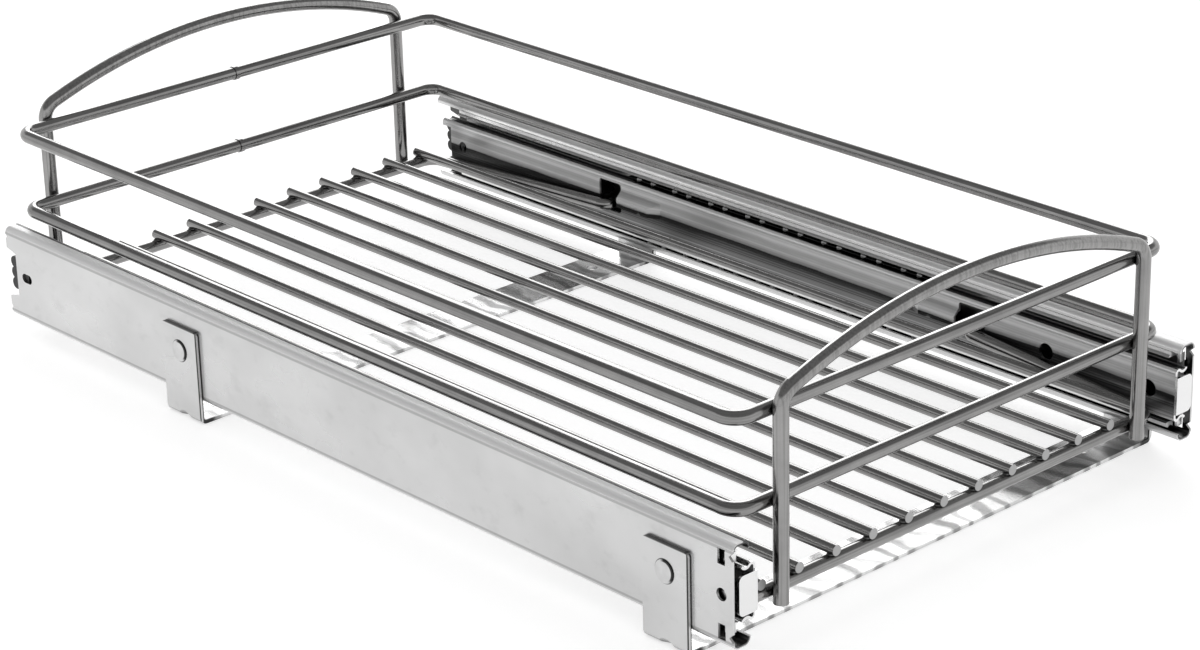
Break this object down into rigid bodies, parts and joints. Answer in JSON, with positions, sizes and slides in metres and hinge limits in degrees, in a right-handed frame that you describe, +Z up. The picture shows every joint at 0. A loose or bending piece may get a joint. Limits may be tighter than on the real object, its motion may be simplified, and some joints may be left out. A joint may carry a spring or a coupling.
{
  "type": "pull out cabinet basket",
  "caption": "Wire pull out basket with arched ends, carried on full extension ball bearing slides that stand on flat cross straps screwed to the cabinet floor.",
  "frame": {"origin": "centre of the closed part's box, on the underside of the cross straps", "axes": "+X across the cabinet to the right seen from the front, -Y the way the basket pulls out, +Z up"},
  "size_m": [0.291, 0.5098, 0.1321],
  "materials": {
    "strap": "bright chrome plate",
    "rivet": "bright chrome plate",
    "outer_member": "bright zinc plate",
    "middle_member": "bright zinc plate, thin grease in the races",
    "inner_member": "bright zinc plate",
    "bumper": "moulded black",
    "retainer": "dark oiled strip",
    "ball": "polished bearing steel",
    "end_frame": "satin nickel plate",
    "ring_wire": "satin nickel plate",
    "support_rod": "satin nickel plate",
    "floor_wire": "satin nickel plate"
  },
  "bodies": {
    "cabinet_side": {"outer_member_left": "outer_member", "outer_member_right": "outer_member", "front_bracket": "strap", "rear_bracket": "strap", "bracket_rivets": "rivet", "rear_bumper_left": "bumper", "rear_bumper_right": "bumper"},
    "outer_cage_left": {"outer_retainer_left": "retainer", "outer_balls_left": "ball"},
    "middle_left": {"middle_member_left": "middle_member"},
    "inner_cage_left": {"inner_retainer_left": "retainer", "inner_balls_left": "ball"},
    "outer_cage_right": {"outer_retainer_right": "retainer", "outer_balls_right": "ball"},
    "middle_right": {"middle_member_right": "middle_member"},
    "inner_cage_right": {"inner_retainer_right": "retainer", "inner_balls_right": "ball"},
    "basket": {"inner_member_left": "inner_member", "inner_member_right": "inner_member", "front_end_frame": "end_frame", "rear_end_frame": "end_frame", "upper_ring": "ring_wire", "lower_ring": "ring_wire", "front_support_rod": "support_rod", "rear_support_rod": "support_rod", "floor_wire_1": "floor_wire", "floor_wire_2": "floor_wire", "floor_wire_3": "floor_wire", "floor_wire_4": "floor_wire", "floor_wire_5": "floor_wire", "floor_wire_6": "floor_wire", "floor_wire_7": "floor_wire", "floor_wire_8": "floor_wire", "floor_wire_9": "floor_wire", "floor_wire_10": "floor_wire", "floor_wire_11": "floor_wire", "floor_wire_12": "floor_wire"}
  },
  "joints": [
    {"name": "basket_slide", "type": "slide", "parent": "cabinet_side", "child": "basket", "axis": [0, -1, 0], "range_m": [0, 0.5]},
    {"name": "middle_left_slide", "type": "slide", "parent": "cabinet_side", "child": "middle_left", "axis": [0, -1, 0], "range_m": [0, 0.25]},
    {"name": "outer_cage_left_slide", "type": "slide", "parent": "cabinet_side", "child": "outer_cage_left", "axis": [0, -1, 0], "range_m": [0, 0.125]},
    {"name": "inner_cage_left_slide", "type": "slide", "parent": "cabinet_side", "child": "inner_cage_left", "axis": [0, -1, 0], "range_m": [0, 0.375]},
    {"name": "middle_right_slide", "type": "slide", "parent": "cabinet_side", "child": "middle_right", "axis": [0, -1, 0], "range_m": [0, 0.25]},
    {"name": "outer_cage_right_slide", "type": "slide", "parent": "cabinet_side", "child": "outer_cage_right", "axis": [0, -1, 0], "range_m": [0, 0.125]},
    {"name": "inner_cage_right_slide", "type": "slide", "parent": "cabinet_side", "child": "inner_cage_right", "axis": [0, -1, 0], "range_m": [0, 0.375]}
  ],
  "couplings": [
    {"joint": "middle_left_slide", "follows": "basket_slide", "ratio": 0.5},
    {"joint": "outer_cage_left_slide", "follows": "basket_slide", "ratio": 0.25},
    {"joint": "inner_cage_left_slide", "follows": "basket_slide", "ratio": 0.75},
    {"joint": "middle_right_slide", "follows": "basket_slide", "ratio": 0.5},
    {"joint": "outer_cage_right_slide", "follows": "basket_slide", "ratio": 0.25},
    {"joint": "inner_cage_right_slide", "follows": "basket_slide", "ratio": 0.75}
  ]
}
